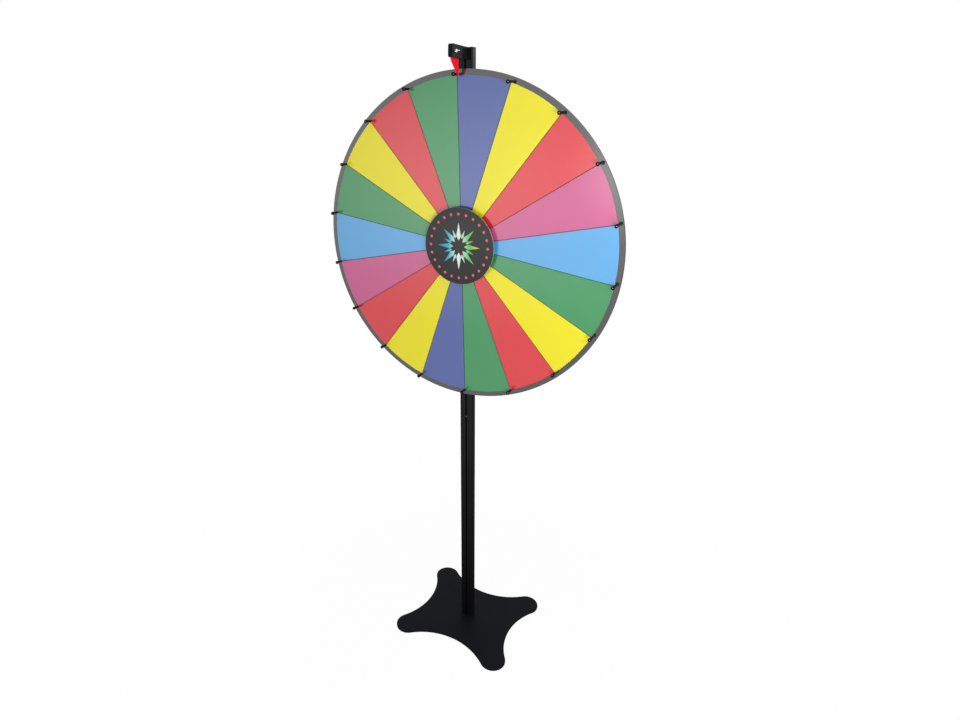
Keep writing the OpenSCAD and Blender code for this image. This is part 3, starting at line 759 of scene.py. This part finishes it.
@dataclass
class HubFace:
    """The disc over the hub, with a burst of rays and a ring of dots printed on it.

    Attributes:
        radius: Radius of the disc.
        thick: Thickness of the disc.
        lift: Height of its back above the wheel's face.
        sides: Number of flats round the disc.
        edge: Width of its broken edge.
        edge_steps: Number of facets across the edge.
        wall_limit: Most that a face of the wall may look forwards, as a share of 1.
        rays: Number of long rays, with as many short ones between them.
        ray: Start, end and width of a long ray.
        small_ray: Start, end and width of a short ray.
        waist: Where a ray is widest, as a share of its length from its blunt end.
        dots: Number of dots.
        dot_sides: Number of flats round a dot.
        dot_r: Radius of a dot.
        ring_r: Radius of the ring of dots.
        ink: Thickness of the print.
    """

    radius: float = 108.0
    thick: float = 3.0
    lift: float = 13.0
    sides: int = 160
    edge: float = 0.6
    edge_steps: int = 3
    wall_limit: float = 0.3
    rays: int = 8
    ray: tuple[float, float, float] = (17.0, 66.0, 15.0)
    small_ray: tuple[float, float, float] = (24.0, 50.0, 8.0)
    waist: float = 0.25
    dots: int = 24
    dot_sides: int = 24
    dot_r: float = 4.0
    ring_r: float = 90.0
    ink: float = 0.12

    def disc(self) -> Piece:
        """Turns the disc and breaks its edges.

        Returns:
            The piece.
        """
        Bench.clear()
        bpy.ops.mesh.primitive_cylinder_add(
            vertices=self.sides,
            radius=self.radius * MM,
            depth=self.thick * MM,
            location=(0, 0, (self.lift + self.thick / 2) * MM),
        )
        disc = Bench.new("hub_disc")
        Bench.pick(disc, Pick.EDGE, lambda e: abs(e.verts[0].co.z - e.verts[1].co.z) < HAIR)
        bpy.ops.mesh.bevel(offset=self.edge * MM, segments=self.edge_steps, affect="EDGES")
        Bench.seat(disc, ON_FACE)
        Bench.smooth(disc)
        return disc

    def pale_edge_and_highlight(self, disc: Piece) -> None:
        """Gives the wall of the disc its own finish: pale, with a painted highlight round the rim.

        Args:
            disc: The disc, in its place.
        """
        disc.data.materials.append(COVER_EDGE_AND_HIGHLIGHT.material())
        disc.active_material_index = 1
        Bench.take(disc)
        bpy.ops.object.mode_set(mode="EDIT")
        Bench.pick(disc, Pick.FACE, lambda f: abs(f.normal.y) < self.wall_limit)
        bpy.ops.object.material_slot_assign()
        Bench.clear()

    def kite(self, name: str, start: float, end: float, width: float) -> Piece:
        """Shapes one ray: a kite that points away from the hub's centre.

        Args:
            name: The ray's name.
            start: Distance of its blunt end from the centre.
            end: Distance of its point from the centre.
            width: Its greatest width.

        Returns:
            The ray, pointing up.
        """
        Bench.clear()
        middle, length = (start + end) / 2, end - start
        place = (0, middle * MM, (self.lift + self.thick) * MM)
        bpy.ops.mesh.primitive_circle_add(vertices=4, radius=1, fill_type="NGON", location=place)
        bpy.context.object.scale = (width / 2 * MM, length / 2 * MM, 1)
        kite = Bench.new(name)
        Bench.pick(kite, Pick.VERT, lambda v: abs(v.co.x) > width / 4 * MM)
        bpy.ops.transform.translate(value=(0, (self.waist - 0.5) * length * MM, 0))
        bpy.ops.mesh.select_all(action="SELECT")
        bpy.ops.mesh.extrude_region_move(TRANSFORM_OT_translate={"value": (0, 0, self.ink * MM)})
        Bench.clear()
        return kite

    def burst(self) -> Piece:
        """Sets the rays round the centre, long and short in turn.

        Returns:
            The piece.
        """
        step = 2 * math.pi / self.rays
        rays = []
        long_ray = self.kite("hub_burst", *self.ray)
        short_ray = self.kite("short_ray", *self.small_ray)
        for shape, shift in ((long_ray, 0.0), (short_ray, 0.5)):
            turns = [Matrix.Rotation((k + shift) * step, 4, "Z") for k in range(self.rays)]
            rays += [Bench.copy(shape, turn) for turn in turns]
            bpy.data.objects.remove(shape)
        burst = Bench.join(rays)
        burst.name = "hub_burst"
        self.close(burst)
        return burst

    def ring(self) -> Piece:
        """Sets the dots in a ring near the disc's edge.

        Returns:
            The piece.
        """
        Bench.clear()
        face = self.lift + self.thick
        bpy.ops.mesh.primitive_cylinder_add(
            vertices=self.dot_sides,
            radius=self.dot_r * MM,
            depth=self.ink * MM,
            location=(0, self.ring_r * MM, (face + self.ink / 2) * MM),
        )
        dot = Bench.new("dot")
        Bench.pick(dot, Pick.EDGE, lambda e: min(v.co.z for v in e.verts) > face * MM + HAIR)
        bpy.ops.mesh.bevel(offset=self.ink / 2 * MM, segments=1, affect="EDGES")
        Bench.clear()
        step = 2 * math.pi / self.dots
        turns = [Matrix.Rotation(k * step, 4, "Z") for k in range(self.dots)]
        ring = Bench.join([Bench.copy(dot, turn) for turn in turns])
        bpy.data.objects.remove(dot)
        ring.name = "hub_dots"
        self.close(ring)
        return ring

    def close(self, print_piece: Piece) -> None:
        """Turns a print's faces outwards and puts it on the disc.

        Args:
            print_piece: The print, in the frame of the wheel's face.
        """
        Bench.take(print_piece)
        bpy.ops.object.mode_set(mode="EDIT")
        bpy.ops.mesh.select_all(action="SELECT")
        bpy.ops.mesh.normals_make_consistent(inside=False)
        Bench.clear()
        Bench.seat(print_piece, ON_FACE)

    def make(self) -> None:
        """Builds the disc and its print."""
        disc = self.disc()
        fit(disc, Body.WHEEL, "cover", ("hub_cover",), COVER_FACE.material())
        self.pale_edge_and_highlight(disc)
        fit(self.burst(), Body.WHEEL, "cover", (), BLEND_INK.material())
        fit(self.ring(), Body.WHEEL, "cover", (), CORAL_INK.material())


@dataclass
class CarriedSolids:
    """The solids that show as they are, each with its finish."""

    finishes: tuple[tuple[Finish, tuple[str, ...]], ...] = (
        (FOAM_BOARD, ("wheel_board",)),
        (ANODISED, ("lower_post", "upper_post")),
        (PEG_SLEEVE, ("peg_sleeves",)),
        (PIN_STEEL, ("peg_pins",)),
        (BLACKENED_STEEL, ("splice_screws",)),
        (
            ZINC_PLATE,
            (
                "base_screws", "splice_bar", "bracket_screws", "clamp_bolt", "axle_washer",
                "axle_clip", "peg_washers", "hub_bolts",
            ),
        ),
        (TURNED_ALUMINIUM, ("hub_barrel", "clamp_plate", "axle", "bearing_spacer")),
        (BEARING_STEEL, ("bearing_inner_rings", "bearing_outer_rings", "bearing_balls")),
        (PRESSED_BRASS, ("bearing_cages",)),
        (MOULDED_ABS, ("cover_spacer",)),
        (RUBBER, ("rubber_feet", "bearing_seals")),
    )

    def make(self) -> None:
        """Gives each solid its material."""
        for finish, nodes in (*self.finishes, *((f, (n,)) for n, f in PRINTS.items())):
            made = finish.material()
            for node in nodes:
                dress(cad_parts[node], made)
                LOG.info("%s keeps its solid", node)


SOFTENED = (
    SoftenedSolid("base_plate", Body.STAND, "base_paint", POWDER_COAT, edge=1.0, steps=3),
    SoftenedSolid("flapper_bracket", Body.STAND, "black_plastic", MOULDED_ABS, edge=1.0, steps=3),
    SoftenedSolid("post_cap", Body.STAND, "black_plastic", MOULDED_ABS, edge=1.2, steps=3),
    SoftenedSolid("wing_nut", Body.STAND, "zinc", PIN_STEEL, edge=0.5),
    SoftenedSolid("axle_nut", Body.STAND, "zinc", ZINC_PLATE, edge=0.7),
    SoftenedSolid("peg_nuts", Body.WHEEL, "zinc", ZINC_PLATE, edge=0.3),
    SoftenedSolid("hub_nuts", Body.WHEEL, "steel", ZINC_PLATE, edge=0.35),
)
FLAPPER = FlapperBlade("flapper", Body.FLAPPER, "flapper_red", FLEXIBLE_VINYL, edge=0.35)


@dataclass
class Lamp:
    """A soft box.

    Attributes:
        name: The lamp's name.
        spot: Where it stands, in metres.
        aim: The point that it faces.
        size: Width and height of its face.
        power: Its power in watts, were it as bright all over as in its middle.
    """

    name: str
    spot: tuple[float, float, float]
    aim: tuple[float, float, float]
    size: tuple[float, float]
    power: float

    def feather(self, tree: Tree) -> None:
        """Lets the light fade from the middle of the box to its edges.

        Args:
            tree: The lamp's node tree.
        """
        tree.nodes.clear()
        place = add(tree, "ShaderNodeNewGeometry").outputs["Parametric"]
        middle = {"operation": "DISTANCE", 1: (LAMP_MIDDLE, LAMP_MIDDLE, 0.0)}
        reach = add(tree, "ShaderNodeVectorMath", middle, {0: place})
        ends = {"From Min": 0.0, "From Max": LAMP_MIDDLE, "To Min": 1.0, "To Max": 0.0}
        fade = {"interpolation_type": "SMOOTHSTEP", **ends}
        bright = add(tree, "ShaderNodeMapRange", fade, {"Value": reach.outputs["Value"]})
        light = add(tree, "ShaderNodeEmission", links={"Strength": bright.outputs[0]})
        add(tree, "ShaderNodeOutputLight", links={"Surface": light.outputs[0]})

    def make(self) -> None:
        """Sets the lamp up."""
        lamp = bpy.data.lights.new(self.name, "AREA")
        lamp.shape = "RECTANGLE"
        lamp.size, lamp.size_y = self.size
        lamp.energy = self.power
        lamp.use_nodes = True
        self.feather(lamp.node_tree)
        stand = bpy.data.objects.new(self.name, lamp)
        stand.location = self.spot
        ahead = Vector(self.aim) - Vector(self.spot)
        stand.rotation_euler = ahead.to_track_quat("-Z", "Y").to_euler()
        bpy.context.scene.collection.objects.link(stand)


@dataclass
class Studio:
    """Pale floor, white surroundings, soft light and the camera.

    Attributes:
        spot: The camera's place, in metres.
        yaw: How far it looks to the left, in degrees.
        pitch: How far it looks down, in degrees.
        roll: Its tilt, in degrees.
        focal: Its focal length, in pixels of the image.
        axis: Where its optical axis meets the image, in pixels.
        clip: Nearest and furthest distance that it sees, in metres.
        ambient: Strength of the light from all round.
        floor_side: Side of the floor, in metres.
        floor_patches: Patches of the floor's surface to a metre.
        floor_rough: Lowest and highest roughness of the floor.
        floor_glow: Share of white that the floor shows of itself near the post.
        floor_fade: Distances from the post between which the floor turns all white, in metres.
        floor_shade_run: Share of white that gloss sees of the floor, by the place along y, in
            metres: painted shade, darkest under the post, that darkens the post's reflection of
            the floor towards its foot.
        lamps: The soft boxes.
    """

    spot: tuple[float, float, float] = (0.83424, -1.60536, 1.71647)
    yaw: float = 30.97
    pitch: float = 20.75
    roll: float = 1.35
    focal: float = 632.1
    axis: tuple[float, float] = (431.39, 350.36)
    clip: tuple[float, float] = (0.05, 100.0)
    ambient: float = 0.41
    floor_side: float = 60.0
    floor_patches: float = 3.0
    floor_rough: tuple[float, float] = (0.85, 1.0)
    floor_glow: float = 0.965
    floor_fade: tuple[float, float] = (0.4, 1.6)
    # Painted shade on the floor, seen only in gloss: grey by the place along y, darkest under the
    # post
    floor_shade_run: tuple[tuple[float, float], ...] = (
        (-1.6, 1.0), (-0.85, 0.42), (-0.3, 0.08), (0.0, 0.02), (1.6, 0.26)
    )
    lamps: tuple[Lamp, ...] = (
        Lamp("key", (1.6, -2.1, 0.95), aim=(0.0, 0.0, 1.2), size=(1.4, 1.4), power=120.0),
        Lamp("fill", (-1.5, -3.0, 1.1), aim=(-1.5, 0.0, 1.1), size=(4.4, 2.6), power=43.0),
        Lamp("panel", (-0.2, -2.8, 1.31), aim=(-0.2, 0.0, 1.31), size=(1.0, 1.0), power=6.2),
        Lamp("side", (1.3, -0.2, 2.4), aim=(0.0, -0.05, 1.82), size=(0.5, 0.5), power=25.5),
        Lamp("near", (0.95, -0.7, 1.52), aim=(0.42, 0.0, 1.47), size=(0.5, 0.5), power=11.0),
        Lamp("rear", (1.6, 2.8, 2.8), aim=(0.0, 0.0, 1.2), size=(1.6, 1.6), power=60.0),
    )

    def shown(self, tree: Tree) -> Socket:
        """Tells the rays that see the white surroundings from those that carry light.

        Args:
            tree: The node tree that asks.

        Returns:
            1 for rays from the camera, off gloss and through glass, and 0 for the rest.
        """
        rays = add(tree, "ShaderNodeLightPath").outputs
        largest = {"operation": "MAXIMUM"}
        feeds = {0: rays["Is Camera Ray"], 1: rays["Is Glossy Ray"]}
        seen = add(tree, "ShaderNodeMath", largest, feeds)
        feeds = {0: seen.outputs[0], 1: rays["Is Transmission Ray"]}
        return add(tree, "ShaderNodeMath", largest, feeds).outputs[0]

    def surroundings(self) -> None:
        """Makes the world white to look at, and plain in the light that it gives."""
        world = bpy.data.worlds.new("studio")
        bpy.context.scene.world = world
        world.use_nodes = True
        tree = world.node_tree
        tree.nodes.clear()
        colour = {"Color": linear(Hue.WHITE)}
        light = add(tree, "ShaderNodeBackground", {**colour, "Strength": self.ambient})
        white = add(tree, "ShaderNodeBackground", {**colour, "Strength": 1.0})
        feeds = {0: self.shown(tree), 1: light.outputs[0], 2: white.outputs[0]}
        mix = add(tree, "ShaderNodeMixShader", links=feeds)
        add(tree, "ShaderNodeOutputWorld", links={"Surface": mix.outputs[0]})

    def mirrored_painted_shade(self, tree: Tree, place: Socket) -> Socket:
        """Paints shade on the floor under and behind the post, seen only by the rays that gloss
        sends there: painted shade that darkens the post's reflection of the floor towards its
        foot.

        Args:
            tree: The floor's node tree.
            place: Object coordinates, in metres.

        Returns:
            Strength of the floor's white.
        """
        along = add(tree, "ShaderNodeSeparateXYZ", links={0: place})
        front, back = self.floor_shade_run[0][0], self.floor_shade_run[-1][0]
        ends = {"From Min": front, "From Max": back}
        run = add(tree, "ShaderNodeMapRange", ends, {"Value": along.outputs["Y"]})
        depth = back - front
        stops = [((y - front) / depth, (grey, grey, grey, 1.0)) for y, grey in self.floor_shade_run]
        # Painted shade: the floor's white turns grey near the post for the rays that gloss sends
        # there
        painted_shade = add(tree, "ShaderNodeValToRGB", {"stops": stops}, {0: run.outputs[0]})
        path = add(tree, "ShaderNodeLightPath")
        feeds = {0: path.outputs["Is Glossy Ray"], 3: painted_shade.outputs[0]}
        return add(tree, "ShaderNodeMix", {"data_type": "FLOAT", 2: 1.0}, feeds).outputs[0]

    def floor(self) -> None:
        """Lays the floor: white to look at, with the object's shadow on it and painted shade near
        the post that only gloss sees.
        """
        Bench.clear()
        bpy.ops.mesh.primitive_plane_add(size=self.floor_side)
        floor = bpy.context.object
        floor.name = "floor"
        made = bpy.data.materials.new("studio_floor")
        made.use_nodes = True
        tree = made.node_tree
        tree.nodes.clear()
        place = add(tree, "ShaderNodeTexCoord").outputs["Object"]
        noise = {"Scale": self.floor_patches}
        grain = add(tree, "ShaderNodeTexNoise", noise, {"Vector": place})
        low, high = self.floor_rough
        spread = {"To Min": low, "To Max": high}
        rough = add(tree, "ShaderNodeMapRange", spread, {"Value": grain.outputs[0]})
        colour = {"Color": linear(Hue.FLOOR)}
        matt = add(tree, "ShaderNodeBsdfDiffuse", colour, {"Roughness": rough.outputs[0]})
        reach = add(tree, "ShaderNodeVectorMath", {"operation": "LENGTH"}, {0: place})
        near, far = self.floor_fade
        ends = {"From Min": near, "From Max": far, "To Min": self.floor_glow}
        fade = {"interpolation_type": "SMOOTHSTEP", **ends}
        glow = add(tree, "ShaderNodeMapRange", fade, {"Value": reach.outputs["Value"]})
        feeds = {0: self.shown(tree), 1: glow.outputs[0]}
        some = add(tree, "ShaderNodeMath", {"operation": "MULTIPLY"}, feeds)
        colour = {"Color": linear(Hue.WHITE)}
        white = add(tree, "ShaderNodeEmission", colour, {"Strength": self.mirrored_painted_shade(tree, place)})
        feeds = {0: some.outputs[0], 1: matt.outputs[0], 2: white.outputs[0]}
        mix = add(tree, "ShaderNodeMixShader", links=feeds)
        add(tree, "ShaderNodeOutputMaterial", links={"Surface": mix.outputs[0]})
        floor.data.materials.append(made)

    def camera(self) -> None:
        """Stands the camera where the photograph was taken from."""
        yaw, pitch, roll = (math.radians(a) for a in (self.yaw, self.pitch, self.roll))
        level = math.cos(pitch)
        ahead = Vector((-math.sin(yaw) * level, math.cos(yaw) * level, -math.sin(pitch)))
        right = Vector((math.cos(yaw), math.sin(yaw), 0.0))
        down = ahead.cross(right)
        across = math.cos(roll) * right + math.sin(roll) * down
        up = math.sin(roll) * right - math.cos(roll) * down
        lens = bpy.data.cameras.new("camera")
        lens.lens = self.focal / IMAGE_W * lens.sensor_width
        lens.shift_x = (IMAGE_W / 2 - self.axis[0]) / IMAGE_W
        lens.shift_y = (self.axis[1] - IMAGE_H / 2) / IMAGE_W
        lens.clip_start, lens.clip_end = self.clip
        stand = bpy.data.objects.new("camera", lens)
        axes = Matrix((across, up, -ahead)).transposed().to_4x4()
        stand.matrix_world = Matrix.Translation(self.spot) @ axes
        bpy.context.scene.collection.objects.link(stand)
        bpy.context.scene.camera = stand

    def make(self) -> None:
        """Sets up the studio."""
        bpy.context.scene.view_settings.view_transform = "Standard"
        self.surroundings()
        self.floor()
        self.camera()
        for lamp in self.lamps:
            lamp.make()


def main() -> None:
    """Builds the studio and every sub-assembly, in order."""
    logging.basicConfig(level=logging.INFO, format="%(name)s: %(message)s")
    Studio().make()
    CarriedSolids().make()
    for solid in SOFTENED:
        solid.make()
    HubFace().make()
    FLAPPER.make()


if __name__ == "__main__":
    main()
